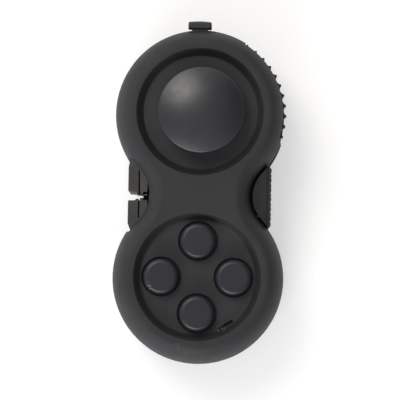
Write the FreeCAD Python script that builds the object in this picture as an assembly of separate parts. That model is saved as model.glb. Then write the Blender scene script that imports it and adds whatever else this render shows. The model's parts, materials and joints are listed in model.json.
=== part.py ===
"""Fidget pad: a figure-8 casing with a joystick, push buttons, thumb wheel, switch, triggers and dial.

The origin is on the back face, midway between the two lobes. +X is to the right seen from the front,
+Y points to the joystick end and +Z out of the front face. Lengths are in millimetres.
"""
import FreeCAD, Part
import math
import os

Vector = FreeCAD.Vector
Z_AXIS = Vector(0, 0, 1)

# Casing
LOBE_R = 21.4
LOBE_Y = 20.5
WAIST_HALF = 13.3
DEPTH = 20.0
SEAM_Z = 10.0
SEAM_GAP = 0.1
WALL = 1.8
FRONT_ROUND = 4.5
CEILING_ROUND = 1.2
BACK_ROUND = 3.0
CEILING_Z = 16.4
FLOOR_Z = 1.8

# Wells in the front face
WELL_RIM_R = 15.9
WELL_FLOOR_R = 14.1
WELL_FLOOR_Z = 18.0
WELL_FOOT_ROUND = 1.1
RIM_ROUND = 0.25
JOY_HOLE_R = 4.7

# Joystick
JOY_REST = (0.24, 0.2)
CAP_R = 10.65
CAP_BASE_R = 9.2
CAP_BASE_Z = 18.6
CAP_EDGE_Z = 21.9
CAP_TOP_Z = 25.0
STEM_R = 2.2
SPIGOT_R = 1.6
SPIGOT_Z1 = 22.0
BLOCK_HALF = 3.0
SLIDE_GAP = 0.06
CROSS_HALF_X = 9.0
CROSS_HALF_Y = 4.4
CROSS_WINDOW_X = 7.4
CROSS_Z0 = 12.1
CROSS_Z1 = 16.1
TRAY_HALF_X = 11.6
TRAY_HALF_Y = 8.4
TRAY_POCKET_Y = 7.2
TRAY_WAIST_R = 13.0
TRAY_FLANGE_Z = 13.8
TRAY_Z0 = 10.7
TRAY_Z1 = 16.35
TRAY_EAR = (10.4, 8.6)
EAR_R = 1.9

# Push buttons
BUTTON_PITCH_R = 8.95
BUTTON_HOLE_R = 4.95
BUTTON_R = 4.38
BUTTON_EDGE = 1.2
BUTTON_TOP_Z = 20.8
FLANGE_R = 5.6
FLANGE_Z0 = 15.2
FLANGE_Z1 = 16.2
DOME_TOP_Z = 16.6
BOARD_R = 14.2
BOARD_Z0 = 11.4
BOARD_Z1 = 12.6
BOARD_POST_R = 12.2
BUTTONS = {"top": 90, "left": 180, "bottom": 270, "right": 0}

# Thumb wheel
WHEEL_TEETH = 48
WHEEL_R = 20.45
WHEEL_OFFSET = 1.1
WHEEL_OFFSET_DEG = 20.0
WHEEL_TIP_DEG = 21.7
WHEEL_SCALLOP_R = 1.45
WHEEL_SCALLOP_DEPTH = 0.75
WHEEL_BORE_R = 15.25
WHEEL_Z0 = 8.2
WHEEL_Z1 = 11.8
WHEEL_GAP = 0.25
WHEEL_POCKET_R = 20.8
HUB_R = 15.15
HUB_LEDGE_R = 16.6
HUB_BORE_R = 14.0
HUB_Z1 = 11.9
RELIEF_R = 20.95
RELIEF_TOP_R = 20.6
RELIEF_Z0 = 1.0
RELIEF_DEG = (-18.5, 59.0)
WINDOW_DEG = (-46.0, 100.0)

# Slide switch
SWITCH_REST_X = -0.55
SWITCH_TRAVEL = 1.2
SWITCH_Z = 14.5
KNOB_HALF = 2.92
KNOB_Y0 = 41.85
KNOB_Y1 = 43.4
KNOB_HALF_Z = 2.1
NECK_HALF = 2.0
NECK_HALF_Z = 1.2
PLATE_HALF = 3.5
PLATE_HALF_Z = 1.8
PLATE_Y0 = 37.7
PLATE_Y1 = 38.9

# Side triggers
TRIGGER_X = -17.65
TRIGGER_PIVOT = (-14.0, 9.8)
TRIGGER_Z0 = 4.0
TRIGGER_Z1 = 15.9
TRIGGER_GAP_Y = -0.45
TRIGGER_WINDOW_Y = 9.3
TRIGGER_INNER_X = -12.9
TRIGGER_SPRING_Y = 4.2
TRIGGER_SPRING_Z = 13.7
GROOVE_DEPTH = 7.9
STOP_Z1 = 7.0
TRUNNION_R = 0.8
KNUCKLE_R = 1.6

# Rub pad
PAD_X = 17.65
PAD_HALF_Y = 8.05
PAD_Z0 = 4.2
PAD_Z1 = 16.2

# Rolling ball in the back of the upper lobe
BALL_R = 4.5
BALL_Z = 4.8
BALL_GAP = 0.1
BALL_RING_R = 8.4
BALL_RECESS_R = 8.6
RING_Z0 = 0.5
RECESS_Z = 2.7

# Spinning dial in the back of the lower lobe
DIAL_R = 13.6
DIAL_RECESS_R = 13.9
DIAL_Z0 = 0.4
DIAL_Z1 = 2.4
AXLE_R = 2.4
AXLE_Z1 = 8.15
BUSH_R = 3.6
BUSH_Z1 = 8.0

# Case screws: places, and the sizes they share
SCREW_PLACES = [(0, 32.2), (0, 9.4), (-14.2, -29.6), (14.2, -29.6)]
SCREW_HEAD_R = 1.9
SCREW_HOLE_R = 1.15
BOSS_R = 2.2
SMALL_SCREW_R = 0.6
SMALL_HEAD_R = 1.15

NECK_R = (LOBE_Y**2 + WAIST_HALF**2 - LOBE_R**2) / (2 * (LOBE_R - WAIST_HALF))
NECK_X = WAIST_HALF + NECK_R
WHEEL_X = WHEEL_OFFSET * math.cos(math.radians(WHEEL_OFFSET_DEG))
WHEEL_Y = LOBE_Y + WHEEL_OFFSET * math.sin(math.radians(WHEEL_OFFSET_DEG))


def cyl(radius, z0, z1, x=0.0, y=0.0):
    return Part.makeCylinder(radius, z1 - z0, Vector(x, y, z0), Z_AXIS)


def tube(outer, inner, z0, z1, x=0.0, y=0.0):
    return cyl(outer, z0, z1, x, y).cut(cyl(inner, z0 - 1, z1 + 1, x, y))


def block(x0, x1, y0, y1, z0, z1):
    return Part.makeBox(x1 - x0, y1 - y0, z1 - z0, Vector(x0, y0, z0))


def polar(radius, degrees, x=0.0, y=0.0):
    angle = math.radians(degrees)
    return x + radius * math.cos(angle), y + radius * math.sin(angle)


def fused(shapes):
    whole = shapes[0]
    for shape in shapes[1:]:
        whole = whole.fuse(shape)
    return whole.removeSplitter()


def cut_all(shape, tools):
    for tool in tools:
        shape = shape.cut(tool)
    return shape


def revolved(points, x=0.0, y=0.0):
    """Solid of revolution about a vertical axis from (radius, z) points."""
    corners = [Vector(r, 0, z) for r, z in points]
    face = Part.Face(Part.makePolygon(corners + corners[:1]))
    solid = face.revolve(Vector(0, 0, 0), Z_AXIS, 360)
    solid.translate(Vector(x, y, 0))
    return solid


def prism(points, z0, z1):
    corners = [Vector(x, y, z0) for x, y in points]
    face = Part.Face(Part.makePolygon(corners + corners[:1]))
    return face.extrude(Vector(0, 0, z1 - z0))


def sector(radius, start, end, z0, z1, x=0.0, y=0.0):
    """Pie slice of a cylinder between two bearings in degrees."""
    slice_ = Part.makeCylinder(radius, z1 - z0, Vector(0, 0, z0), Z_AXIS, end - start)
    slice_.rotate(Vector(0, 0, 0), Z_AXIS, start)
    slice_.translate(Vector(x, y, 0))
    return slice_


def outline(inset, z):
    """Closed figure-8 wire: two lobe arcs joined by two hollow neck arcs."""
    lobe_r = LOBE_R - inset
    neck_r = NECK_R + inset
    reach = math.hypot(NECK_X, LOBE_Y)
    touch_x = lobe_r * NECK_X / reach
    touch_y = LOBE_Y - lobe_r * LOBE_Y / reach
    edges = []
    for side in (1, -1):
        start = Vector(side * touch_x, side * touch_y, z)
        crown = Vector(0, side * (LOBE_Y + lobe_r), z)
        end = Vector(-side * touch_x, side * touch_y, z)
        waist = Vector(-side * (NECK_X - neck_r), 0, z)
        after = Vector(-side * touch_x, -side * touch_y, z)
        edges.append(Part.Arc(start, crown, end).toShape())
        edges.append(Part.Arc(end, waist, after).toShape())
    return Part.Wire(Part.__sortEdges__(edges))


def slab(inset, z0, z1):
    return Part.Face(outline(inset, z0)).extrude(Vector(0, 0, z1 - z0))


def half_casing(inset, z0, z1, width):
    """Figure-8 solid whose side curves in from z0 to z1 as a quarter ellipse of that width."""
    lean = math.degrees(math.atan2(LOBE_Y, NECK_X))
    lobes = []
    for side in (1, -1):
        lobe = Part.Face(side_profile(LOBE_R - inset, z0, z1, -width))
        lobe = lobe.revolve(Vector(0, 0, 0), Z_AXIS, 180 + 2 * lean)
        lobe.rotate(Vector(0, 0, 0), Z_AXIS, -lean if side > 0 else 180 - lean)
        lobe.translate(Vector(0, side * LOBE_Y, 0))
        lobes.append(lobe)
    bridge = prism([(NECK_X, 0), (0, LOBE_Y), (-NECK_X, 0), (0, -LOBE_Y)], z0, z1)
    for side in (1, -1):
        neck = Part.Face(side_profile(NECK_R + inset, z0, z1, width))
        neck = neck.revolve(Vector(0, 0, 0), Z_AXIS, 360)
        neck.translate(Vector(side * NECK_X, 0, 0))
        bridge = bridge.cut(neck)
    return fused(lobes + [bridge])


def side_profile(radius, z0, z1, width):
    """Outline from the axis to a quarter ellipse, radius at z0 and radius + width at z1."""
    rim = radius + width
    ellipse = Part.Ellipse(Vector(rim, 0, z1), Vector(radius, 0, z0), Vector(rim, 0, z0))
    ends = [ellipse.parameter(Vector(rim, 0, z1)), ellipse.parameter(Vector(radius, 0, z0))]
    arc = Part.ArcOfEllipse(ellipse, min(ends), max(ends)).toShape()
    corners = [Vector(rim, 0, z1), Vector(0, 0, z1), Vector(0, 0, z0), Vector(radius, 0, z0)]
    lines = [Part.LineSegment(a, b).toShape() for a, b in zip(corners, corners[1:])]
    return Part.Wire(Part.__sortEdges__([arc] + lines))


def rim_edges(shape, z, radius=None):
    """Edges lying in the plane at z, all of them or only full circles of one radius."""
    found = []
    for edge in shape.Edges:
        box = edge.BoundBox
        if abs(box.ZMin - z) > 1e-4 or abs(box.ZMax - z) > 1e-4:
            continue
        if radius is None:
            found.append(edge)
        elif isinstance(edge.Curve, Part.Circle) and abs(edge.Curve.Radius - radius) < 1e-3:
            found.append(edge)
    return found


def coil(radius, wire, length, turns, start, direction):
    """Compression spring from start along direction."""
    pitch = (length - wire) / turns
    helix = Part.makeHelix(pitch, pitch * turns, radius - wire / 2)
    ring = Part.Wire(Part.makeCircle(wire / 2, Vector(radius - wire / 2, 0, 0), Vector(0, 1, 0)))
    spring = Part.Wire(helix).makePipeShell([ring], True, True)
    spring.translate(Vector(0, 0, wire / 2))
    turned = FreeCAD.Placement(start, FreeCAD.Rotation(Z_AXIS, direction))
    spring.Placement = turned.multiply(spring.Placement)
    return spring


def screw(head_r, head_z, tip_z, shank_r, x, y, head_height):
    """Pan-head screw that points up, with a cross recess in the head."""
    sign = 1 if tip_z > head_z else -1
    low, high = sorted((head_z, head_z + sign * head_height))
    head = cyl(head_r, low, high, x, y)
    low, high = sorted((head_z + sign * head_height, tip_z))
    shank = cyl(shank_r, low, high, x, y)
    arm = head_r * 0.62
    slot = head_r * 0.16
    depth = head_height * 0.5
    low, high = sorted((head_z - sign * 0.1, head_z + sign * depth))
    cross = block(x - arm, x + arm, y - slot, y + slot, low, high)
    cross = cross.fuse(block(x - slot, x + slot, y - arm, y + arm, low, high))
    return head.fuse(shank).cut(cross).removeSplitter()


# Casing halves
def thumb_relief():
    """Stretch of the side wall set back so that the wheel's teeth stand proud of it."""
    start, end = RELIEF_DEG
    top = DEPTH + 2
    kept = [(0, 0), (RELIEF_R, 0), (RELIEF_R, WHEEL_Z1), (RELIEF_TOP_R, WHEEL_Z1)]
    kept += [(RELIEF_TOP_R, top), (0, top)]
    cutter = sector(LOBE_R + 3, start, end, RELIEF_Z0, DEPTH + 1, 0, LOBE_Y)
    return cutter.cut(revolved(kept, 0, LOBE_Y))


def side_windows():
    """Openings for the triggers and the rub pad's root."""
    z0, z1 = TRIGGER_Z0 - 0.15, TRIGGER_Z1 + 0.15
    windows = [block(-24, -10.9, -TRIGGER_WINDOW_Y, TRIGGER_WINDOW_Y, z0, z1)]
    for side in (1, -1):
        x, y = TRIGGER_PIVOT
        windows.append(cyl(KNUCKLE_R + 0.15, z0, z1, x, side * y))
    windows.append(block(11.3, 20, -3.65, 2.4, 7.55, 13.25))
    return windows


def switch_slot():
    """Slot for the switch's neck and a flat recess behind it for the plate."""
    reach = NECK_HALF + SWITCH_TRAVEL + 0.15
    slot = block(-reach, reach, 36, 43, SWITCH_Z - NECK_HALF_Z - 0.12, SWITCH_Z + NECK_HALF_Z + 0.12)
    reach = PLATE_HALF + SWITCH_TRAVEL + 0.25
    return slot.fuse(block(-reach, reach, 36, PLATE_Y1 + 0.1, SWITCH_Z - PLATE_HALF_Z - 0.15, CEILING_Z))


def well_cone(side):
    """Well cutter with a steep straight wall; the lower one's wall meets its floor in a hollow curve."""
    slope = (WELL_RIM_R - WELL_FLOOR_R) / (DEPTH - WELL_FLOOR_Z)
    top_r = WELL_RIM_R + slope
    points = [(0, WELL_FLOOR_Z), (WELL_FLOOR_R, WELL_FLOOR_Z), (top_r, DEPTH + 1), (0, DEPTH + 1)]
    cone = revolved(points, 0, side * LOBE_Y)
    if side < 0:
        cone = cone.makeFillet(WELL_FOOT_ROUND, rim_edges(cone, WELL_FLOOR_Z))
    return cone


def gate_slot():
    """Shallow moulded slot in the lower well's floor, along the wall."""
    slot = block(-2.0, 2.0, -0.3, 0.4, WELL_FLOOR_Z - 0.45, WELL_FLOOR_Z + 0.6)
    slot.translate(Vector(0, -(WELL_FLOOR_R - 0.35), 0))
    slot.rotate(Vector(0, 0, 0), Z_AXIS, 31.8)
    slot.translate(Vector(0, -LOBE_Y, 0))
    return slot


def front_posts():
    """Posts that hang from the ceiling: case screws, button board, trigger pivots and spring rib."""
    posts = [cyl(BOSS_R, SEAM_Z + 0.3, CEILING_Z + 0.5, x, y) for x, y in SCREW_PLACES]
    for k in range(4):
        x, y = polar(BOARD_POST_R, 45 + 90 * k, 0, -LOBE_Y)
        posts.append(cyl(1.7, BOARD_Z1, CEILING_Z + 0.5, x, y))
    for side in (1, -1):
        x, y = TRIGGER_PIVOT
        posts.append(cyl(1.9, TRIGGER_Z1 + 0.15, CEILING_Z + 0.5, x, side * y))
    posts.append(block(-10.3, -9.1, -6, 6, HUB_Z1 + 0.3, CEILING_Z + 0.5))
    return posts


def front_holes():
    holes = [cyl(JOY_HOLE_R, CEILING_Z - 1, DEPTH, 0, LOBE_Y)]
    for bearing in BUTTONS.values():
        x, y = polar(BUTTON_PITCH_R, bearing, 0, -LOBE_Y)
        holes.append(cyl(BUTTON_HOLE_R, CEILING_Z - 1, DEPTH, x, y))
    for x, y in SCREW_PLACES:
        holes.append(cyl(0.8, SEAM_Z, 16.2, x, y))
    for k in range(4):
        x, y = polar(BOARD_POST_R, 45 + 90 * k, 0, -LOBE_Y)
        holes.append(cyl(SMALL_SCREW_R, BOARD_Z1 - 1, 16.0, x, y))
    for x, y in tray_ears() + switch_ears():
        holes.append(cyl(SMALL_SCREW_R, CEILING_Z - 1, CEILING_Z + 1.3, x, y))
    for side in (1, -1):
        x, y = TRIGGER_PIVOT
        holes.append(cyl(TRUNNION_R + 0.05, TRIGGER_Z1, 17.7, x, side * y))
    return holes


def front_shell():
    shell = half_casing(0, SEAM_Z + SEAM_GAP, DEPTH, FRONT_ROUND)
    shell = shell.cut(half_casing(WALL, SEAM_Z, CEILING_Z, CEILING_ROUND))
    shell = cut_all(shell, [well_cone(1), well_cone(-1)])
    shell = shell.makeFillet(RIM_ROUND, rim_edges(shell, DEPTH, WELL_RIM_R))
    inside = half_casing(WALL - 0.1, SEAM_Z + SEAM_GAP, CEILING_Z + 1, CEILING_ROUND)
    posts = fused([post.common(inside) for post in front_posts()])
    shell = shell.fuse(posts)
    cutters = front_holes() + side_windows() + [switch_slot(), thumb_relief(), gate_slot(), wheel_pocket()]
    return cut_all(shell, cutters + [wheel_window()]).removeSplitter()


def wheel_pocket():
    """Room for the wheel where it runs close to the side wall."""
    top = WHEEL_Z1 + WHEEL_GAP
    pocket = cyl(WHEEL_POCKET_R, WHEEL_Z0 - WHEEL_GAP, top, WHEEL_X, WHEEL_Y)
    return pocket.cut(cyl(HUB_LEDGE_R + 0.5, 0, DEPTH, WHEEL_X, WHEEL_Y))


def wheel_window():
    """Opening in the side wall that the wheel's rim stands in."""
    start, end = WINDOW_DEG
    window = sector(LOBE_R + 3, start, end, WHEEL_Z0 - WHEEL_GAP, WHEEL_Z1 + WHEEL_GAP, 0, LOBE_Y)
    return window.cut(cyl(18.5, 0, 20, 0, LOBE_Y))


def back_bosses():
    floor = FLOOR_Z - 0.5
    bosses = [cyl(BOSS_R, floor, SEAM_Z, x, y) for x, y in SCREW_PLACES[2:]]
    bosses.append(cyl(DIAL_RECESS_R + 1.5, floor, 4.5, 0, -LOBE_Y))
    bosses.append(cyl(BUSH_R + 1.5, 4.0, BUSH_Z1 - 0.1, 0, -LOBE_Y))
    for side in (1, -1):
        x, y = TRIGGER_PIVOT
        bosses.append(cyl(1.9, floor, TRIGGER_Z0 - 0.15, x, side * y))
    bosses.append(block(-5.6, -4.2, -4.2, -1.2, floor, WHEEL_Z1))
    return bosses


def hub():
    """Tube that the thumb wheel turns on, with two case-screw bosses and the ball's seat inside."""
    floor = FLOOR_Z - 0.5
    outside = cyl(HUB_R, floor, HUB_Z1, WHEEL_X, WHEEL_Y)
    ledge = cyl(HUB_LEDGE_R, floor, WHEEL_Z0 - 0.1, WHEEL_X, WHEEL_Y)
    walls = fused([outside, ledge]).cut(cyl(HUB_BORE_R, 0, DEPTH, WHEEL_X, WHEEL_Y))
    seat = cyl(BALL_RECESS_R + 1.5, floor, 4.5, 0, LOBE_Y)
    return fused([walls, seat] + [cyl(BOSS_R, floor, SEAM_Z, x, y) for x, y in SCREW_PLACES[:2]])


def back_holes():
    holes = [cyl(BALL_RECESS_R, -1, RECESS_Z, 0, LOBE_Y), cyl(5.4, 0, 6, 0, LOBE_Y)]
    holes.append(cyl(DIAL_RECESS_R, -1, RECESS_Z, 0, -LOBE_Y))
    holes.append(cyl(BUSH_R, 0, 9, 0, -LOBE_Y))
    for x, y in SCREW_PLACES:
        holes.append(cyl(SCREW_HOLE_R, -1, SEAM_Z + 1, x, y))
        holes.append(cyl(SCREW_HEAD_R + 0.25, -1, 2.4, x, y))
    for x, y in ring_screw_places():
        holes.append(cyl(0.75, 0, 6, x, y))
    for side in (1, -1):
        x, y = TRIGGER_PIVOT
        holes.append(cyl(TRUNNION_R + 0.05, 2.2, TRIGGER_Z0, x, side * y))
    return holes


def trigger_stop():
    """Fin on the waist's side wall between the two triggers."""
    y0, y1 = TRIGGER_GAP_Y - 0.9, TRIGGER_GAP_Y + 0.9
    return block(-14.2, -12.4, y0, y1, TRIGGER_Z0 - 1.5, STOP_Z1)


def back_shell():
    shell = slab(0, 0, SEAM_Z)
    shell = shell.makeFillet(BACK_ROUND, rim_edges(shell, 0))
    shell = shell.cut(slab(WALL, FLOOR_Z, SEAM_Z + 1))
    inside = slab(WALL - 0.1, 0.5, SEAM_Z)
    bosses = fused([boss.common(inside) for boss in back_bosses()])
    shell = cut_all(shell.fuse(bosses), side_windows() + [wheel_pocket(), wheel_window()])
    shell = fused([shell, hub(), trigger_stop()])
    return cut_all(shell, back_holes() + [thumb_relief()]).removeSplitter()


# Joystick
def joystick_cap():
    """Mushroom cap: a low dome on a tapered skirt."""
    height = CAP_TOP_Z - CAP_EDGE_Z - 0.55
    edge_r = CAP_R - 0.25
    dome_r = (edge_r**2 + height**2) / (2 * height)
    half = math.asin(edge_r / dome_r) / 2
    centre_z = CAP_TOP_Z - dome_r
    rim = Vector(edge_r, 0, CAP_TOP_Z - height)
    middle = Vector(dome_r * math.sin(half), 0, centre_z + dome_r * math.cos(half))
    crown = Vector(0, 0, CAP_TOP_Z)
    side = Vector(CAP_R, 0, CAP_EDGE_Z)
    bulge = Vector(CAP_R - 0.02, 0, CAP_EDGE_Z + 0.3)
    foot = Vector(CAP_BASE_R, 0, CAP_BASE_Z)
    edges = [
        Part.LineSegment(Vector(0, 0, CAP_BASE_Z), foot).toShape(),
        Part.LineSegment(foot, side).toShape(),
        Part.Arc(side, bulge, rim).toShape(),
        Part.Arc(rim, middle, crown).toShape(),
        Part.LineSegment(crown, Vector(0, 0, CAP_BASE_Z)).toShape(),
    ]
    cap = Part.Face(Part.Wire(edges)).revolve(Vector(0, 0, 0), Z_AXIS, 360)
    x, y = JOY_REST[0], LOBE_Y + JOY_REST[1]
    cap.translate(Vector(x, y, 0))
    return cap.cut(cyl(SPIGOT_R + 0.02, CAP_BASE_Z - 1, SPIGOT_Z1 + 0.02, x, y))


def joystick_stem():
    x, y = JOY_REST[0], LOBE_Y + JOY_REST[1]
    z0, z1 = CROSS_Z0 + 0.1, CROSS_Z1 - 0.1
    foot = block(x - BLOCK_HALF, x + BLOCK_HALF, y - BLOCK_HALF, y + BLOCK_HALF, z0, z1)
    stem = cyl(STEM_R, CROSS_Z1 - 1, CAP_BASE_Z, x, y)
    return fused([foot, stem, cyl(SPIGOT_R, CAP_BASE_Z - 1, SPIGOT_Z1, x, y)])


def joystick_cross_slide():
    y = LOBE_Y + JOY_REST[1]
    frame = block(-CROSS_HALF_X, CROSS_HALF_X, y - CROSS_HALF_Y, y + CROSS_HALF_Y, CROSS_Z0, CROSS_Z1)
    gap = BLOCK_HALF + SLIDE_GAP
    return frame.cut(block(-CROSS_WINDOW_X, CROSS_WINDOW_X, y - gap, y + gap, CROSS_Z0 - 1, CROSS_Z1 + 1))


def tray_ears():
    x, y = TRAY_EAR
    return [(sx * x, LOBE_Y + sy * y) for sx in (1, -1) for sy in (1, -1)]


def joystick_tray():
    """Tray under the well's floor: its pocket guides the cross slide, its flange takes the screws."""
    y0, y1 = LOBE_Y - TRAY_HALF_Y, LOBE_Y + TRAY_HALF_Y
    body = block(-TRAY_HALF_X, TRAY_HALF_X, y0, y1, TRAY_Z0, TRAY_Z1)
    ears = [cyl(EAR_R, TRAY_FLANGE_Z, TRAY_Z1, x, y) for x, y in tray_ears()]
    waist = cyl(TRAY_WAIST_R, TRAY_Z0, TRAY_Z1, WHEEL_X, WHEEL_Y)
    flange = cyl(LOBE_R - 5, TRAY_FLANGE_Z, TRAY_Z1, 0, LOBE_Y)
    tray = fused([body] + ears).common(fused([waist, flange]))
    gap = CROSS_HALF_X + SLIDE_GAP
    y0, y1 = LOBE_Y - TRAY_POCKET_Y, LOBE_Y + TRAY_POCKET_Y
    pocket = block(-gap, gap, y0, y1, CROSS_Z0 - SLIDE_GAP, TRAY_Z1 + 1)
    holes = [cyl(0.7, TRAY_Z0 - 1, TRAY_Z1 + 1, x, y) for x, y in tray_ears()]
    holes += [cyl(SMALL_HEAD_R + 0.15, TRAY_Z0 - 1, TRAY_FLANGE_Z, x, y) for x, y in tray_ears()]
    return cut_all(tray, [pocket] + holes)


def joystick_springs_x():
    z = (CROSS_Z0 + CROSS_Z1) / 2
    springs = []
    for side in (1, -1):
        start = Vector(JOY_REST[0] + side * (BLOCK_HALF + 0.05), LOBE_Y + JOY_REST[1], z)
        length = CROSS_WINDOW_X - 0.05 - abs(start.x)
        springs.append(coil(1.2, 0.3, length, 6, start, Vector(side, 0, 0)))
    return springs


def joystick_springs_y():
    z = (CROSS_Z0 + CROSS_Z1) / 2
    springs = []
    for side in (1, -1):
        start = Vector(0, LOBE_Y + JOY_REST[1] + side * (CROSS_HALF_Y + 0.05), z)
        length = TRAY_POCKET_Y - 0.05 - abs(start.y - LOBE_Y)
        springs.append(coil(1.2, 0.32, length, 3, start, Vector(0, side, 0)))
    return springs


# Push buttons
def button_cap(bearing):
    x, y = polar(BUTTON_PITCH_R, bearing, 0, -LOBE_Y)
    cap = cyl(BUTTON_R, FLANGE_Z1 - 0.5, BUTTON_TOP_Z, x, y)
    cap = cap.makeFillet(BUTTON_EDGE, rim_edges(cap, BUTTON_TOP_Z))
    cap = cap.fuse(cyl(FLANGE_R, FLANGE_Z0, FLANGE_Z1, x, y))
    return cap.cut(cyl(3.5, FLANGE_Z0 - 1, DOME_TOP_Z, x, y)).removeSplitter()


def button_dome(bearing):
    """Hollow silicone dome that carries one button and springs it back."""
    x, y = polar(BUTTON_PITCH_R, bearing, 0, -LOBE_Y)
    outside = [(0, BOARD_Z1), (4.9, BOARD_Z1), (4.9, 13.1), (4.2, 13.3)]
    outside += [(3.2, 15.0), (3.2, DOME_TOP_Z), (0, DOME_TOP_Z)]
    inside = [(0, BOARD_Z1 - 1), (4.0, BOARD_Z1 - 1), (4.0, 12.9), (2.7, 14.8), (0, 14.8)]
    return revolved(outside, x, y).cut(revolved(inside, x, y))


def button_board():
    board = cyl(BOARD_R, BOARD_Z0, BOARD_Z1, 0, -LOBE_Y)
    holes = [polar(BOARD_POST_R, 45 + 90 * k, 0, -LOBE_Y) for k in range(4)]
    return cut_all(board, [cyl(0.7, BOARD_Z0 - 1, BOARD_Z1 + 1, x, y) for x, y in holes])


# Thumb wheel
def thumb_wheel():
    wheel = tube(WHEEL_R, WHEEL_BORE_R, WHEEL_Z0, WHEEL_Z1, WHEEL_X, WHEEL_Y)
    cut_r = WHEEL_R - WHEEL_SCALLOP_DEPTH + WHEEL_SCALLOP_R
    pitch = 360 / WHEEL_TEETH
    cutters = []
    for k in range(WHEEL_TEETH):
        x, y = polar(cut_r, WHEEL_TIP_DEG + (k + 0.5) * pitch, WHEEL_X, WHEEL_Y)
        cutters.append(cyl(WHEEL_SCALLOP_R, WHEEL_Z0 - 1, WHEEL_Z1 + 1, x, y))
    wheel = wheel.cut(Part.makeCompound(cutters))
    groove = tube(18.4, 17.2, WHEEL_Z1 - 1.0, WHEEL_Z1 + 1, WHEEL_X, WHEEL_Y)
    return wheel.cut(groove)


def wheel_retainer():
    flange = tube(16.6, 13.2, HUB_Z1, HUB_Z1 + 0.7, WHEEL_X, WHEEL_Y)
    lip = tube(HUB_BORE_R - 0.05, 13.2, HUB_Z1 - 1.2, HUB_Z1 + 0.7, WHEEL_X, WHEEL_Y)
    ring = fused([flange, lip])
    return cut_all(ring, [cyl(BOSS_R + 0.15, 0, DEPTH, x, y) for x, y in SCREW_PLACES[:2]])


def wheel_click_spring():
    """Bent leaf whose nose sits in a valley between two teeth."""
    nose_deg = WHEEL_TIP_DEG - 14.5 * 360 / WHEEL_TEETH
    nose_x, nose_y = polar(WHEEL_R - WHEEL_SCALLOP_DEPTH + 0.15, nose_deg, WHEEL_X, WHEEL_Y)
    path = [(-4.15, -3.9), (-4.15, -1.4), (nose_x - 0.9, nose_y - 1.5), (nose_x, nose_y)]
    path += [(nose_x + 0.9, nose_y - 1.5), (nose_x + 2.6, nose_y - 2.2)]
    leaf = [(x, y) for x, y in path]
    back = [(x + 0.12, y - 0.32) for x, y in reversed(path)]
    return prism(leaf + back, WHEEL_Z0 + 0.3, WHEEL_Z1 - 0.3)


# Slide switch
def switch_knob():
    """Ridged knob; its socket takes the slider's neck."""
    x, z0, z1 = SWITCH_REST_X, SWITCH_Z - KNOB_HALF_Z, SWITCH_Z + KNOB_HALF_Z
    knob = block(x - KNOB_HALF, x + KNOB_HALF, KNOB_Y0, KNOB_Y1, z0, z1)
    boxes = [(edge, edge.BoundBox) for edge in knob.Edges]
    rounded = [edge for edge, box in boxes if box.YMin > KNOB_Y0 + 0.5 or box.YLength > 1]
    knob = knob.makeFillet(0.5, rounded)
    ridges = []
    for k in range(9):
        drop = 0.12 + 0.012 * (k - 4) ** 2
        ridges.append(cyl(0.27, z0 + 0.25, z1 - 0.25, x + (k - 4) * 0.58, KNOB_Y1 - drop))
    knob = fused([knob] + ridges)
    socket = block(x - 1.52, x + 1.52, KNOB_Y0 - 1, KNOB_Y0 + 0.82, SWITCH_Z - 0.82, SWITCH_Z + 0.82)
    return knob.cut(socket)


def switch_slider():
    """Plate inside the wall with a neck out through the slot and a tongue for the knob."""
    x = SWITCH_REST_X
    z0, z1 = SWITCH_Z - PLATE_HALF_Z, SWITCH_Z + PLATE_HALF_Z
    plate = block(x - PLATE_HALF, x + PLATE_HALF, PLATE_Y0, PLATE_Y1, z0, z1)
    z0, z1 = SWITCH_Z - NECK_HALF_Z, SWITCH_Z + NECK_HALF_Z
    neck = block(x - NECK_HALF, x + NECK_HALF, PLATE_Y0, KNOB_Y0, z0, z1)
    tongue = block(x - 1.5, x + 1.5, KNOB_Y0 - 1, KNOB_Y0 + 0.8, SWITCH_Z - 0.8, SWITCH_Z + 0.8)
    return fused([plate, neck, tongue])


def switch_ears():
    return [(-7.4, 34.9), (7.4, 34.9)]


def switch_bracket():
    """Wall behind the switch plate, hung from the ceiling by two ears."""
    wall = block(-6.0, 6.0, 36.0, 36.9, 12.8, TRAY_Z1)
    arms = [block(min(0, x), max(0, x), 34.6, 36.2, 14.6, TRAY_Z1) for x, _ in switch_ears()]
    ears = [cyl(EAR_R - 0.2, 14.6, TRAY_Z1, x, y) for x, y in switch_ears()]
    bracket = fused([wall] + arms + ears)
    return cut_all(bracket, [cyl(0.7, 12, TRAY_Z1 + 1, x, y) for x, y in switch_ears()])


def switch_detent():
    """Bowed leaf that holds the switch at each of its stops."""
    path = [(-4.4, 36.95), (-2.2, 37.0), (-0.8, 37.3), (0, 37.4), (0.8, 37.3), (2.2, 37.0), (4.4, 36.95)]
    back = [(x, y + 0.2) for x, y in reversed(path)]
    return prism(path + back, SWITCH_Z - 1.5, SWITCH_Z + 1.5)


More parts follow.
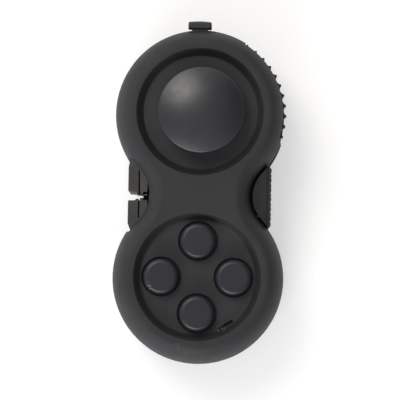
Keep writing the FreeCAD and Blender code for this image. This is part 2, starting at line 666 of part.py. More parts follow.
# Side triggers
def trigger(side):
    """Outer plate and inner band, with a blind groove between them that is open at the free end."""
    px, py = TRIGGER_PIVOT
    mid = side * TRIGGER_GAP_Y
    plan = [(TRIGGER_X, mid + 1.3), (TRIGGER_X + 0.15, mid + 1.13), (-16.0, mid + 1.08)]
    plan += [(-15.55, mid + 0.72), (-14.7, mid + 0.6), (-13.95, mid + 0.4), (-13.95, mid + 1.05)]
    plan += [(TRIGGER_INNER_X, mid + 1.05), (TRIGGER_INNER_X, 8.2), (px + 1.3, py - 0.9), (px, py)]
    plan += [(-15.5, 9.15), (-16.9, 9.05), (-17.35, 8.2), (TRIGGER_X, 6.9)]
    body = prism([(x, side * y) for x, y in plan], TRIGGER_Z0, TRIGGER_Z1)
    knuckle = cyl(KNUCKLE_R, TRIGGER_Z0, TRIGGER_Z1, px, side * py)
    trunnion = cyl(TRUNNION_R, TRIGGER_Z0 - 1.6, TRIGGER_Z1 + 1.6, px, side * py)
    slit = [(-15.12, mid), (-15.2, 5.9), (-14.85, 6.1), (-14.7, mid)]
    groove = prism([(x, side * y) for x, y in slit], TRIGGER_Z1 - GROOVE_DEPTH, TRIGGER_Z1 + 1)
    y0, y1 = sorted((side * (mid - 1), side * (mid + 1.15)))
    stop_room = block(-15.5, -12, y0, y1, 0, STOP_Z1 + 0.3)
    centre = Vector(TRIGGER_INNER_X + 0.01, side * TRIGGER_SPRING_Y, TRIGGER_SPRING_Z)
    seat = Part.makeCylinder(1.3, 0.45, centre, Vector(-1, 0, 0))
    wheel_room = cyl(WHEEL_R + 0.45, WHEEL_Z0 - 0.3, WHEEL_Z1 + 0.3, WHEEL_X, WHEEL_Y)
    solid = cut_all(fused([body, knuckle]), [groove, stop_room, seat])
    return fused([solid, trunnion]).cut(wheel_room).removeSplitter()


def trigger_spring(side):
    start = Vector(-10.35, side * TRIGGER_SPRING_Y, TRIGGER_SPRING_Z)
    return coil(1.0, 0.3, 2.9, 4, start, Vector(-1, 0, 0))


# Rub pad
def grip_pad():
    """Rubber pad that fills the waist's hollow, with a root through the wall and a lip behind it."""
    face = block(10, PAD_X, -PAD_HALF_Y, PAD_HALF_Y, PAD_Z0, PAD_Z1)
    face = face.makeFillet(1.1, [e for e in face.Edges if e.BoundBox.XMin > PAD_X - 0.01])
    face = face.cut(slab(-0.05, -1, DEPTH + 1))
    root = block(11.15, 14.6, -3.55, 2.3, 7.65, 13.15)
    root = root.common(slab(-0.2, 0, DEPTH))
    lip = block(10.3, 11.2, -4.6, 2.3, 7.0, 13.9)
    return fused([face, root, lip])


# Rolling ball
def ring_screw_places():
    return [polar(6.7, 30 + 120 * k, 0, LOBE_Y) for k in range(3)]


def track_ball():
    return Part.makeSphere(BALL_R, Vector(0, LOBE_Y, BALL_Z))


def ball_ring():
    socket = Part.makeSphere(BALL_R + BALL_GAP, Vector(0, LOBE_Y, BALL_Z))
    ring = cyl(BALL_RING_R, RING_Z0, RECESS_Z, 0, LOBE_Y)
    ring = ring.makeFillet(0.5, rim_edges(ring, RING_Z0))
    ring = cut_all(ring, [socket, cyl(3.3, 0, 2, 0, LOBE_Y)])
    for x, y in ring_screw_places():
        ring = cut_all(ring, [cyl(0.75, 0, 4, x, y), cyl(SMALL_HEAD_R + 0.1, 0, 1.4, x, y)])
    return ring


def ball_cup():
    """Cup over the ball's inner half; its flange takes the ring's screws."""
    cup = fused([cyl(5.35, RECESS_Z + 0.05, 10.3, 0, LOBE_Y), cyl(8.2, 4.55, 6.0, 0, LOBE_Y)])
    bore = cyl(BALL_R + BALL_GAP, 2, BALL_Z, 0, LOBE_Y)
    socket = Part.makeSphere(BALL_R + BALL_GAP, Vector(0, LOBE_Y, BALL_Z))
    return cut_all(cup, [bore, socket] + [cyl(SMALL_SCREW_R, 4, 7, x, y) for x, y in ring_screw_places()])


# Spinning dial
def spinner_dial():
    dial = cyl(DIAL_R, DIAL_Z0, DIAL_Z1, 0, -LOBE_Y)
    dial = dial.makeFillet(0.6, rim_edges(dial, DIAL_Z0))
    shoulder = cyl(3.4, DIAL_Z1, RECESS_Z - 0.05, 0, -LOBE_Y)
    dial = fused([dial, shoulder, cyl(AXLE_R, DIAL_Z1, AXLE_Z1, 0, -LOBE_Y)])
    for k in range(3):
        x, y = polar(8.4, 90 + 120 * k, 0, -LOBE_Y)
        dial = dial.cut(Part.makeSphere(9.0, Vector(x, y, DIAL_Z0 - 9.0 + 1.2)))
    dial = dial.cut(Part.makeSphere(5.0, Vector(0, -LOBE_Y, DIAL_Z0 - 5.0 + 0.5)))
    return dial.cut(cyl(0.8, 4, 9, 0, -LOBE_Y))


def spinner_bush():
    return tube(BUSH_R - 0.01, AXLE_R + 0.05, RECESS_Z, BUSH_Z1, 0, -LOBE_Y)


def spinner_washer():
    return tube(4.4, 1.0, AXLE_Z1, AXLE_Z1 + 0.5, 0, -LOBE_Y)


def spinner_screw():
    return screw(1.8, AXLE_Z1 + 1.75, 4.5, 0.78, 0, -LOBE_Y, 1.25)


# Fasteners
def small_screw(seat_z, tip_z, x, y):
    return screw(SMALL_HEAD_R, seat_z - 0.8, tip_z, SMALL_SCREW_R - 0.01, x, y, 0.8)


def case_screws():
    return [screw(SCREW_HEAD_R, 1.1, 15.5, 0.79, x, y, 1.3) for x, y in SCREW_PLACES]


def joystick_screws():
    return [small_screw(TRAY_FLANGE_Z, 17.4, x, y) for x, y in tray_ears()]


def board_screws():
    places = [polar(BOARD_POST_R, 45 + 90 * k, 0, -LOBE_Y) for k in range(4)]
    return [small_screw(BOARD_Z0, 15.6, x, y) for x, y in places]


def switch_screws():
    return [small_screw(14.6, 17.4, x, y) for x, y in switch_ears()]


def ring_screws():
    return [small_screw(1.4, 5.8, x, y) for x, y in ring_screw_places()]


def nodes():
    """Every sub-part by name; a list is a group of identical solids."""
    parts = {"front_shell": front_shell(), "back_shell": back_shell()}
    parts.update({"joystick_cap": joystick_cap(), "joystick_stem": joystick_stem()})
    parts.update({"joystick_cross_slide": joystick_cross_slide(), "joystick_tray": joystick_tray()})
    parts.update({"joystick_springs_x": joystick_springs_x(), "joystick_springs_y": joystick_springs_y()})
    for name, bearing in BUTTONS.items():
        parts["button_" + name] = button_cap(bearing)
        parts["button_dome_" + name] = button_dome(bearing)
    parts.update({"button_board": button_board(), "thumb_wheel": thumb_wheel()})
    parts.update({"wheel_retainer": wheel_retainer(), "wheel_click_spring": wheel_click_spring()})
    parts.update({"switch_knob": switch_knob(), "switch_bracket": switch_bracket()})
    parts.update({"switch_slider": switch_slider(), "switch_detent": switch_detent()})
    for name, side in (("upper", 1), ("lower", -1)):
        parts["trigger_" + name] = trigger(side)
        parts["trigger_spring_" + name] = trigger_spring(side)
    parts["grip_pad"] = grip_pad()
    parts.update({"track_ball": track_ball(), "ball_ring": ball_ring(), "ball_cup": ball_cup()})
    parts.update({"spinner_dial": spinner_dial(), "spinner_bush": spinner_bush()})
    parts.update({"spinner_washer": spinner_washer(), "spinner_screw": spinner_screw()})
    parts.update({"case_screws": case_screws(), "joystick_screws": joystick_screws()})
    parts.update({"board_screws": board_screws(), "switch_screws": switch_screws()})
    parts["ring_screws"] = ring_screws()
    return parts


os.makedirs("parts", exist_ok=True)
for name, shape in nodes().items():
    if isinstance(shape, list):
        shape = Part.makeCompound(shape)
    shape.exportStep("parts/" + name + ".step")
    solids = len(shape.Solids)
    print(f"{name}: {solids} solids, valid {shape.isValid()}, {shape.Volume:.1f} mm3")
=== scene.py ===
"""Looks of the fidget pad: its materials, fine surface relief, soft studio light and the camera."""
import json
import math

import bmesh
import bpy
from mathutils import Euler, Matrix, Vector

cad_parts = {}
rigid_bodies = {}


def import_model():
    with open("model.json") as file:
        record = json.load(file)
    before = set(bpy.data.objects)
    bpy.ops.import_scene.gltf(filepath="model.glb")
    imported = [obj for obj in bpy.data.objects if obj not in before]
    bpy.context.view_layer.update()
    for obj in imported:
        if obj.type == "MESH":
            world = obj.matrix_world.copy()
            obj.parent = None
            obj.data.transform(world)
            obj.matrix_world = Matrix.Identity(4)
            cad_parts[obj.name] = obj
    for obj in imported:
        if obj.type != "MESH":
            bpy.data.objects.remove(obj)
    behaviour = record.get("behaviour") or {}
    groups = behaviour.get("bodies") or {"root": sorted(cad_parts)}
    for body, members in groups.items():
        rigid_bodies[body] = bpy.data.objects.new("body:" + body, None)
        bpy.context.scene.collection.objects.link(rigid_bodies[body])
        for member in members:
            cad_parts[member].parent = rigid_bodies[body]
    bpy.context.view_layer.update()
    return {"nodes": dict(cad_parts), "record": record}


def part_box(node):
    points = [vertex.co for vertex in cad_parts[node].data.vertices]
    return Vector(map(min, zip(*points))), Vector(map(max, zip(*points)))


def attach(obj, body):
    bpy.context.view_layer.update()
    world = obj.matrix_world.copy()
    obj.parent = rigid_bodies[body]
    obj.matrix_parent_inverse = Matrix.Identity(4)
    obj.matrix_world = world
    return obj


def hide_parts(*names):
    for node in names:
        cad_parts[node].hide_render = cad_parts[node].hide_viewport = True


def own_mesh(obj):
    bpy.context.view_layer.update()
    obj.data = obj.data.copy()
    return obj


for leftover in list(bpy.data.objects):
    bpy.data.objects.remove(leftover)

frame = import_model()
NODES = frame["nodes"]
MM = 0.001

# Camera: place in millimetres, turn in degrees, near and far clip in metres
CAMERA_MM = (11.12, -42.85, 611.31)
CAMERA_TURN_DEG = (4.019, 0.968, 1.099)
CAMERA_CLIP = (0.01, 20.0)
SENSOR_MM = 36.0
LENS_MM = 216.0

# Noise mostly lies between these values
NOISE_LOW, NOISE_HIGH = 0.3, 0.7

# Moulded surfaces: sizes in mm of the colour drift, gloss patches and waviness, and bump strengths
DRIFT_MM, PATCH_MM, WAVE_MM = 9.0, 2.5, 5.0
WAVE_DEPTH_MM, WAVE_STRENGTH, GRAIN_STRENGTH = 0.05, 0.25, 0.6

# Moulded looks: dark and light colour, roughness range, grain size and depth in mm, specular level
SATIN = ((0.0135, 0.0130, 0.0195), (0.0175, 0.0170, 0.0240), (0.36, 0.44), 0.12, 0.008, 0.45)
MOULDED = {
    "shell": (
        "soft_touch_shell",
        (0.0305, 0.0305, 0.0332), (0.0375, 0.0375, 0.0405), (0.58, 0.66), 0.16, 0.02, 0.2,
    ),
    "control": ("satin_control", *SATIN),
    "button_top": ("satin_button", *SATIN),
    "button_left": ("worn_button", *SATIN),
    "joystick_cap": (
        "satin_cap",
        (0.006, 0.0056, 0.0105), (0.008, 0.0075, 0.0130), (0.35, 0.42), 0.11, 0.008, 0.8,
    ),
    "inner_plastic": (
        "inner_plastic",
        (0.02, 0.02, 0.02), (0.03, 0.03, 0.03), (0.45, 0.6), 0.2, 0.01, 0.5,
    ),
    "wheel": (
        "wheel_plastic",
        (0.008, 0.008, 0.008), (0.012, 0.012, 0.012), (0.45, 0.55), 0.15, 0.02, 0.5,
    ),
    "switch": (
        "switch_plastic",
        (0.016, 0.0155, 0.0165), (0.024, 0.023, 0.025), (0.45, 0.55), 0.12, 0.02, 0.5,
    ),
    "trigger": (
        "trigger_plastic",
        (0.034, 0.0325, 0.0315), (0.046, 0.044, 0.0425), (0.45, 0.55), 0.18, 0.03, 0.5,
    ),
    "rubber": (
        "pad_rubber",
        (0.007, 0.007, 0.0073), (0.012, 0.012, 0.0124), (0.6, 0.75), 0.2, 0.04, 0.5,
    ),
    "ball": (
        "ball_plastic",
        (0.012, 0.012, 0.013), (0.016, 0.016, 0.017), (0.12, 0.2), 0.3, 0.002, 0.5,
    ),
    "silicone": (
        "silicone",
        (0.05, 0.05, 0.052), (0.07, 0.07, 0.072), (0.4, 0.5), 0.3, 0.01, 0.5,
    ),
}

# Metal looks: colour and lowest roughness, then the streaks' size, stretch, depth and strength,
# how dull they are, and the size and roughness of the gloss patches
METALS = {
    "bush": ("turned_brass", (0.65, 0.47, 0.2), 0.25),
    "steel": ("plated_steel", (0.45, 0.45, 0.46), 0.3),
}
STREAK_MM, STREAK_STRETCH = 0.25, (1, 1, 0.15)
STREAK_DEPTH_MM, STREAK_STRENGTH = 0.01, 0.4
STREAK_DULL = 0.85
METAL_PATCH_MM, METAL_PATCH_ROUGH = 0.8, 0.12

# Pale spots: centre, reach and fleck size in millimetres, and colour; on the shell a painted
# highlight along the slot mark and paler flecks on the bottom rim, on the left button worn flecks;
# a fleck starts and is full at these values of its noise
FLECK_START, FLECK_FULL = 0.55, 0.68
SHELL_PAINTED_HIGHLIGHT_AND_FLECKS = [
    # painted highlight along the slot mark
    ((6.2, -32.9, 17.8), 1.5, 0.5, (0.5, 0.5, 0.5)),
    # paler flecks on the bottom rim
    ((-4.0, -39.2, 18.8), 4.5, 1.3, (0.07, 0.07, 0.073)),
]
BUTTON_WEAR = ((-12.1, -23.4, 20.6), 1.7, 0.32, (0.4, 0.38, 0.38))

# Wells, in millimetres: distance of a lobe's axis from the pad's middle, where the painted shade
# fades out round that axis, and the heights between which the painted shade of walls, holes and
# flanges changes
LOBE_Y = 20.5
WELL_REACH = (15.9, 16.05)
WALL_FOOT, WALL_TOP = (18.05, 18.5), (19.6, 19.95)
HOLE_FOOT, HOLE_TOP = (14.0, 15.0), (17.85, 17.97)
FLANGE = (17.4, 18.6)

# Painted shade of walls and holes, also used on button flanges: how strongly it darkens, and its
# colour
PAINTED_WALL_SHADE, PAINTED_WALL_SHADE_COLOUR = 0.52, (0.004, 0.004, 0.0045)
PAINTED_HOLE_SHADE, PAINTED_HOLE_SHADE_COLOUR = 0.95, (0.001, 0.001, 0.0012)

# Triggers, in millimetres: height of their front faces, and where each one's ridges start
TRIGGER_FRONT_Z = 15.9
TRIGGER_FREE_Y = {"upper": 0.95, "lower": 1.8}

# Ridges on a trigger's front face and outer face: count, first place, pitch, width and height
FRONT_RIDGES = (5, 0.35, 0.42, 0.17, 0.06)
FRONT_RIDGE_START_GAP = 0.1
FRONT_RIDGE_END_Y, FRONT_RIDGE_END_STEP = 7.0, 0.1
OUTER_RIDGES = (9, 0.55, 0.62, 0.36, 0.1)
OUTER_RIDGE_FOOT_Z = 4.6
OUTER_RIDGE_TOP_GAP = 0.5
RIDGE_ROOT = 0.02

# Nubs, in millimetres: radius and height of each kind, and their places; and their mesh's fineness
NUB_MESH = {"u_segments": 20, "v_segments": 10}
PAD_FRONT_NUB = (0.24, 0.16)
PAD_FRONT_PLACES = ((14.48, 3.14), (14.53, 0.15), (14.59, -2.84), (14.63, -5.08))
PAD_SIDE_NUB = (0.62, 0.35)
PAD_SIDE_ROWS, PAD_SIDE_COLUMNS = 4, 6
PAD_SIDE_PITCH = 2.4
PAD_SIDE_STAGGER = 0.6
DIAL_NUB = (0.42, 0.22)
DIAL_NUBS = 30
DIAL_NUB_INSET = 1.5
DIAL_NUB_SINK = 0.03

# Floor: width in metres, dark and light grey, size of its mottling in mm, roughness, its own glow
FLOOR_SIZE = 6
FLOOR_GREYS = (0.61, 0.63)
FLOOR_MOTTLE_MM = 40
FLOOR_ROUGH = 0.9
FLOOR_GLOW = 0.48

# Light panels: name, bearing and tilt in degrees, distance and size in metres, power in watts
# and colour
PANELS = [
    ("key", 127, 42, 1.0, (0.55, 0.5), 4.6, (1.0, 0.955, 0.9)),
    ("low_front", 250, 67, 1.0, (0.8, 0.22), 5.6, (0.96, 0.975, 1.0)),
]

# Surround, as factors that multiply: an axis, the factor's first and last value, and the cosines of
# the lean towards that axis between which it changes. They dim overhead, right and left in turn.
SURROUND = [
    ((0, 0, 1), 1.15, 0.55, 0.05, 0.75),
    ((1, 0.2, 0), 1.0, 0.2, 0.25, 0.85),
    ((-1, 0, 0), 1.0, 0.6, 0.4, 0.9),
]


def make_camera():
    data = bpy.data.cameras.new("camera")
    data.sensor_width = SENSOR_MM
    data.lens = LENS_MM
    data.clip_start, data.clip_end = CAMERA_CLIP
    camera = bpy.data.objects.new("camera", data)
    camera.location = Vector(CAMERA_MM) * MM
    camera.rotation_euler = Euler([math.radians(a) for a in CAMERA_TURN_DEG], "XYZ")
    bpy.context.scene.collection.objects.link(camera)
    bpy.context.scene.camera = camera


# Materials
class Graph:
    """Short way to build one material's nodes."""

    def __init__(self, name):
        self.material = bpy.data.materials.new(name)
        self.material.use_nodes = True
        self.tree = self.material.node_tree
        self.tree.nodes.clear()
        surface = self.node("ShaderNodeOutputMaterial").inputs["Surface"]
        self.shader = self.node("ShaderNodeBsdfPrincipled")
        self.link(self.shader.outputs["BSDF"], surface)
        self.place = self.node("ShaderNodeTexCoord").outputs["Object"]

    def node(self, kind, **values):
        """New node; each value sets the socket of that name, or else the property."""
        node = self.tree.nodes.new(kind)
        for key, value in values.items():
            if key in node.inputs:
                node.inputs[key].default_value = value
            else:
                setattr(node, key, value)
        return node

    def link(self, source, target):
        self.tree.links.new(source, target)

    def noise(self, size_mm, detail, stretch=(1, 1, 1)):
        """Noise with features about size_mm across; a stretch under 1 draws them out."""
        mapping = self.node("ShaderNodeMapping")
        mapping.inputs["Scale"].default_value = stretch
        self.link(self.place, mapping.inputs["Vector"])
        noise = self.node("ShaderNodeTexNoise", Scale=1 / (size_mm * MM), Detail=detail)
        self.link(mapping.outputs["Vector"], noise.inputs["Vector"])
        return noise.outputs["Fac"]

    def span(self, value, low, high, start=NOISE_LOW, end=NOISE_HIGH):
        """value from start to end mapped to low to high."""
        remap = self.node("ShaderNodeMapRange")
        limits = (("From Min", start), ("From Max", end), ("To Min", low), ("To Max", high))
        for name, number in limits:
            remap.inputs[name].default_value = number
        self.link(value, remap.inputs["Value"])
        return remap.outputs["Result"]

    def blend(self, factor, first, second):
        mix = self.node("ShaderNodeMix", data_type="RGBA")
        mix.inputs["A"].default_value = (*first, 1)
        mix.inputs["B"].default_value = (*second, 1)
        self.link(factor, mix.inputs["Factor"])
        return mix.outputs["Result"]

    def vector(self, operation, point, other=None):
        """Vector maths on a point, with a constant as the second operand if it takes one."""
        step = self.node("ShaderNodeVectorMath", operation=operation)
        self.link(point, step.inputs[0])
        if other is not None:
            step.inputs[1].default_value = other
        return step

    def near(self, point, centre_mm, inner_mm, outer_mm):
        """1 within inner_mm of a centre, falling to 0 at outer_mm."""
        gap = self.vector("DISTANCE", point, [c * MM for c in centre_mm])
        return self.span(gap.outputs["Value"], 1, 0, inner_mm * MM, outer_mm * MM)

    def in_wells(self):
        """1 near either lobe's axis and 0 outside the wells, at any height."""
        mirrored = self.vector("ABSOLUTE", self.place).outputs["Vector"]
        flat = self.vector("MULTIPLY", mirrored, (1, 1, 0)).outputs["Vector"]
        return self.near(flat, (0, LOBE_Y, 0), *WELL_REACH)

    def height(self, low, high, start_mm, end_mm):
        """low at a height of start_mm to high at end_mm."""
        split = self.node("ShaderNodeSeparateXYZ")
        self.link(self.place, split.inputs["Vector"])
        return self.span(split.outputs["Z"], low, high, start_mm * MM, end_mm * MM)

    def times(self, first, second):
        product = self.node("ShaderNodeMath", operation="MULTIPLY")
        self.link(first, product.inputs[0])
        self.link(second, product.inputs[1])
        return product.outputs["Value"]

    def tint(self, mask, colour):
        """Blends the base colour towards another where the mask is 1."""
        base = self.shader.inputs["Base Color"]
        mix = self.node("ShaderNodeMix", data_type="RGBA")
        mix.inputs["B"].default_value = (*colour, 1)
        self.link(mask, mix.inputs["Factor"])
        self.link(base.links[0].from_socket, mix.inputs["A"])
        self.link(mix.outputs["Result"], base)

    def bump(self, heights):
        """Chained bumps from (height output, depth in mm, strength)."""
        normal = None
        for height, depth, strength in heights:
            bump = self.node("ShaderNodeBump", Distance=depth * MM, Strength=strength)
            self.link(height, bump.inputs["Height"])
            if normal:
                self.link(normal, bump.inputs["Normal"])
            normal = bump.outputs["Normal"]
        self.link(normal, self.shader.inputs["Normal"])


def moulded(name, dark, light, rough, grain_mm, grain_depth, specular):
    """Moulded plastic or rubber: eroded-mould grain, patchy gloss and faint colour drift."""
    g = Graph(name)
    drift = g.noise(DRIFT_MM, 3.0)
    g.link(g.blend(g.span(drift, 0, 1), dark, light), g.shader.inputs["Base Color"])
    patches = g.noise(PATCH_MM, 4.0)
    g.link(g.span(patches, *rough), g.shader.inputs["Roughness"])
    grain = g.noise(grain_mm, 2.0)
    waviness = g.noise(WAVE_MM, 1.0)
    g.bump([(waviness, WAVE_DEPTH_MM, WAVE_STRENGTH), (grain, grain_depth, GRAIN_STRENGTH)])
    g.shader.inputs["Specular IOR Level"].default_value = specular
    return g


def metal(name, colour, rough):
    """Metal with fine streaks along its height and patchy gloss."""
    g = Graph(name)
    streaks = g.noise(STREAK_MM, 3.0, STREAK_STRETCH)
    dull = [c * STREAK_DULL for c in colour]
    g.link(g.blend(g.span(streaks, 0, 1), dull, colour), g.shader.inputs["Base Color"])
    patches = g.span(g.noise(METAL_PATCH_MM, 3.0), rough, rough + METAL_PATCH_ROUGH)
    g.link(patches, g.shader.inputs["Roughness"])
    g.bump([(streaks, STREAK_DEPTH_MM, STREAK_STRENGTH)])
    g.shader.inputs["Metallic"].default_value = 1.0
    return g


def add_wear_and_highlight_flecks(g, centre_mm, reach_mm, fleck_mm, colour):
    """Pale flecks within reach of a point; used for worn flecks on a button and for a painted
    highlight on the shell.
    """
    fleck = g.span(g.noise(fleck_mm, 3.0), 0, 1, FLECK_START, FLECK_FULL)
    g.tint(g.times(g.near(g.place, centre_mm, 0, reach_mm), fleck), colour)


def paint_well_shade(g):
    """Painted shade: the wells' sloping walls and the holes in their floors are darkened in colour
    where shade falls.
    """
    inside = g.in_wells()
    wall_shade_mask = g.times(g.height(0, PAINTED_WALL_SHADE, *WALL_FOOT), g.height(1, 0, *WALL_TOP))
    g.tint(g.times(inside, wall_shade_mask), PAINTED_WALL_SHADE_COLOUR)
    hole_shade_mask = g.times(g.height(0, PAINTED_HOLE_SHADE, *HOLE_FOOT), g.height(1, 0, *HOLE_TOP))
    g.tint(g.times(inside, hole_shade_mask), PAINTED_HOLE_SHADE_COLOUR)


def paint_flange_shade(g):
    """Painted shade on the foot of a button, down in its hole."""
    g.tint(g.height(PAINTED_HOLE_SHADE, 0, *FLANGE), PAINTED_HOLE_SHADE_COLOUR)


def make_materials():
    """Materials by slot, and by node for the few nodes that differ from their slot."""
    looks = {key: moulded(*values) for key, values in MOULDED.items()}
    looks.update({key: metal(*values) for key, values in METALS.items()})
    # painted shade on the wells' walls and in the holes in their floors
    paint_well_shade(looks["shell"])
    # painted highlight along the slot mark, and paler flecks on the bottom rim
    for spot in SHELL_PAINTED_HIGHLIGHT_AND_FLECKS:
        add_wear_and_highlight_flecks(looks["shell"], *spot)
    add_wear_and_highlight_flecks(looks["button_left"], *BUTTON_WEAR)
    # painted shade on the buttons' flanges, down in their holes
    for name in ("button_top", "button_left"):
        paint_flange_shade(looks[name])
    looks["button_right"] = looks["button_bottom"] = looks["button_top"]
    return {name: g.material for name, g in looks.items()}


def paint_nodes(materials):
    """Each node takes the material named after it, or else its slot's."""
    for row in frame["record"]["subparts"]:
        mesh = NODES[row["node"]].data
        mesh.materials.clear()
        mesh.materials.append(materials.get(row["node"], materials[row["material_slot"]]))


# Fine relief
def finish_piece(name, shape, body, material):
    """Turns a bmesh into a piece that rides on a body."""
    mesh = bpy.data.meshes.new(name)
    shape.to_mesh(mesh)
    shape.free()
    piece = bpy.data.objects.new(name, mesh)
    bpy.context.scene.collection.objects.link(piece)
    mesh.materials.append(material)
    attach(piece, body)


def ribs(name, body, material, bars):
    """Low triangular ridges; each bar is its two ends, its outward direction, width and height."""
    shape = bmesh.new()
    for start, end, outward, width, height in bars:
        start, end, outward = Vector(start) * MM, Vector(end) * MM, Vector(outward)
        side = (end - start).normalized().cross(outward) * width * MM / 2
        low = -outward * RIDGE_ROOT * MM
        top = outward * height * MM
        taper = (end - start).normalized() * width * MM / 2
        ring = [start + side + low, start - side + low, end - side + low, end + side + low]
        crest = [start + top + taper, end + top - taper]
        corners = [shape.verts.new(point) for point in ring + crest]
        a, b, c, d, e, f = corners
        for face in ((a, b, c, d), (a, e, b), (c, f, d), (b, e, f, c), (d, f, e, a)):
            shape.faces.new(face)
    bmesh.ops.recalc_face_normals(shape, faces=shape.faces)
    finish_piece(name, shape, body, material)


def nubs(name, body, material, places, outward, radius, height):
    """Low round bumps standing on a flat face."""
    turn = Vector(outward).to_track_quat("Z", "Y").to_matrix().to_4x4()
    shape = bmesh.new()
    for place in places:
        made = bmesh.ops.create_uvsphere(shape, radius=1.0, **NUB_MESH)
        for vert in made["verts"]:
            scaled = Vector((vert.co.x * radius, vert.co.y * radius, vert.co.z * height)) * MM
            vert.co = turn @ scaled + Vector(place) * MM
    for face in shape.faces:
        face.smooth = True
    finish_piece(name, shape, body, material)


def corner_mm(node, high):
    """Low (0) or high (1) corner of a node's box."""
    return Vector(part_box(node)[high]) / MM


def trigger_ribs(materials):
    """Fine ridges along each trigger's front face and down its outer face."""
    for name, side in (("upper", 1), ("lower", -1)):
        node = "trigger_" + name
        low = corner_mm(node, 0)
        free_y = TRIGGER_FREE_Y[name]
        bars = []
        count, first, pitch, width, height = FRONT_RIDGES
        for k in range(count):
            x = low.x + first + k * pitch
            start = (x, side * (free_y + FRONT_RIDGE_START_GAP), TRIGGER_FRONT_Z)
            end = (x, side * (FRONT_RIDGE_END_Y + FRONT_RIDGE_END_STEP * k), TRIGGER_FRONT_Z)
            bars.append((start, end, (0, 0, 1), width, height))
        count, first, pitch, width, height = OUTER_RIDGES
        for k in range(count):
            y = side * (free_y + first + k * pitch)
            start = (low.x, y, OUTER_RIDGE_FOOT_Z)
            end = (low.x, y, TRIGGER_FRONT_Z - OUTER_RIDGE_TOP_GAP)
            bars.append((start, end, (-1, 0, 0), width, height))
        ribs(node + "_ribs", node, materials["trigger"], bars)


def pad_nubs(materials):
    """A short row of nubs on the pad's front edge and a field of them on its rubbing face."""
    low, high = corner_mm("grip_pad", 0), corner_mm("grip_pad", 1)
    front = [(x, y, high.z) for x, y in PAD_FRONT_PLACES]
    nubs("pad_front_nubs", "casing", materials["rubber"], front, (0, 0, 1), *PAD_FRONT_NUB)
    side = []
    middle = (PAD_SIDE_COLUMNS - 1) / 2
    for row in range(PAD_SIDE_ROWS):
        for column in range(PAD_SIDE_COLUMNS):
            offset = PAD_SIDE_STAGGER if row % 2 else -PAD_SIDE_STAGGER
            y = (column - middle) * PAD_SIDE_PITCH + offset
            side.append((high.x, y, low.z + PAD_SIDE_PITCH + row * PAD_SIDE_PITCH))
    nubs("pad_side_nubs", "casing", materials["rubber"], side, (1, 0, 0), *PAD_SIDE_NUB)


def dial_nubs(materials):
    """Finger nubs round the spinning dial's rim."""
    low, high = corner_mm("spinner_dial", 0), corner_mm("spinner_dial", 1)
    centre = (low + high) / 2
    reach = (high.x - low.x) / 2 - DIAL_NUB_INSET
    z = low.z + DIAL_NUB_SINK
    ring = []
    for k in range(DIAL_NUBS):
        angle = math.radians(360 / DIAL_NUBS * k)
        ring.append((centre.x + reach * math.cos(angle), centre.y + reach * math.sin(angle), z))
    nubs("dial_nubs", "dial", materials["control"], ring, (0, 0, -1), *DIAL_NUB)


# Soft parts
def flexing(node):
    """Copy of a soft part with a mesh of its own, riding on the casing in place of the original."""
    piece = bpy.data.objects.new(node + "_flexing", NODES[node].data.copy())
    bpy.context.scene.collection.objects.link(piece)
    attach(piece, "casing")
    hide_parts(node)
    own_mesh(piece)


def soft_parts():
    """Copies of the buttons' domes and the triggers' springs ride on the casing in place of the
    originals.
    """
    for name in ("top", "left", "bottom", "right"):
        node = "button_dome_" + name
        flexing(node)
    for name in ("upper", "lower"):
        node, joint = "trigger_spring_" + name, f"trigger_{name}_press"
        flexing(node)


# Stage
def make_floor():
    """Pale paper with some glow of its own, so that it reads as white under a dim surround."""
    bpy.ops.mesh.primitive_plane_add(size=FLOOR_SIZE, location=(0, 0, 0))
    floor = bpy.context.object
    floor.name = "floor"
    g = Graph("floor_paper")
    dark, light = [(grey, grey, grey) for grey in FLOOR_GREYS]
    mottle = g.span(g.noise(FLOOR_MOTTLE_MM, 2), 0, 1)
    g.link(g.blend(mottle, dark, light), g.shader.inputs["Base Color"])
    g.shader.inputs["Roughness"].default_value = FLOOR_ROUGH
    g.shader.inputs["Emission Color"].default_value = (1, 1, 1, 1)
    g.shader.inputs["Emission Strength"].default_value = FLOOR_GLOW
    floor.data.materials.append(g.material)


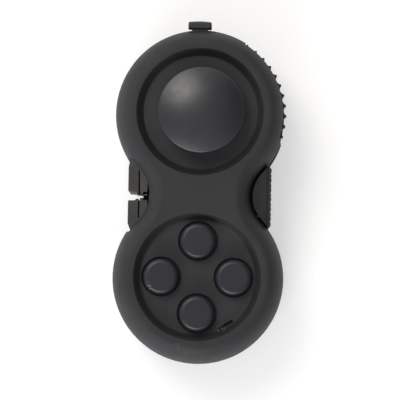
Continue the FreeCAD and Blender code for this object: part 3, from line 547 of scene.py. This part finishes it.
def area_light(name, azimuth, tilt, distance, size, power, colour):
    """Panel aimed at the pad from a bearing (0 is +X, 90 is +Y) and a tilt from straight up."""
    data = bpy.data.lights.new(name, "AREA")
    data.shape = "RECTANGLE"
    data.size, data.size_y = size
    data.energy = power
    data.color = colour
    light = bpy.data.objects.new(name, data)
    bearing, lean = math.radians(azimuth), math.radians(tilt)
    across = math.sin(lean)
    towards = Vector((across * math.cos(bearing), across * math.sin(bearing), math.cos(lean)))
    light.location = towards * distance
    light.rotation_euler = towards.to_track_quat("Z", "Y").to_euler()
    bpy.context.scene.collection.objects.link(light)


def make_world():
    """Studio surround: brightest at the horizon in front and behind."""
    world = bpy.data.worlds.new("studio")
    bpy.context.scene.world = world
    world.use_nodes = True
    tree = world.node_tree
    background = tree.nodes["Background"]
    direction = tree.nodes.new("ShaderNodeTexCoord").outputs["Generated"]

    def lobe(axis, first, last, start, end):
        """Factor by how far a direction leans towards an axis."""
        dot = tree.nodes.new("ShaderNodeVectorMath")
        dot.operation = "DOT_PRODUCT"
        dot.inputs[1].default_value = Vector(axis).normalized()
        tree.links.new(direction, dot.inputs[0])
        span = tree.nodes.new("ShaderNodeMapRange")
        span.interpolation_type = "SMOOTHSTEP"
        limits = (("From Min", start), ("From Max", end), ("To Min", first), ("To Max", last))
        for name, value in limits:
            span.inputs[name].default_value = value
        tree.links.new(dot.outputs["Value"], span.inputs["Value"])
        return span.outputs["Result"]

    strength, *factors = [lobe(*row) for row in SURROUND]
    for factor in factors:
        product = tree.nodes.new("ShaderNodeMath")
        product.operation = "MULTIPLY"
        tree.links.new(strength, product.inputs[0])
        tree.links.new(factor, product.inputs[1])
        strength = product.outputs["Value"]
    tree.links.new(strength, background.inputs["Strength"])
    background.inputs["Color"].default_value = (1, 1, 1, 1)


make_camera()
MATERIALS = make_materials()
paint_nodes(MATERIALS)
trigger_ribs(MATERIALS)
pad_nubs(MATERIALS)
dial_nubs(MATERIALS)
soft_parts()
make_floor()
make_world()
for panel in PANELS:
    area_light(*panel)
bpy.context.scene.view_settings.view_transform = "Standard"
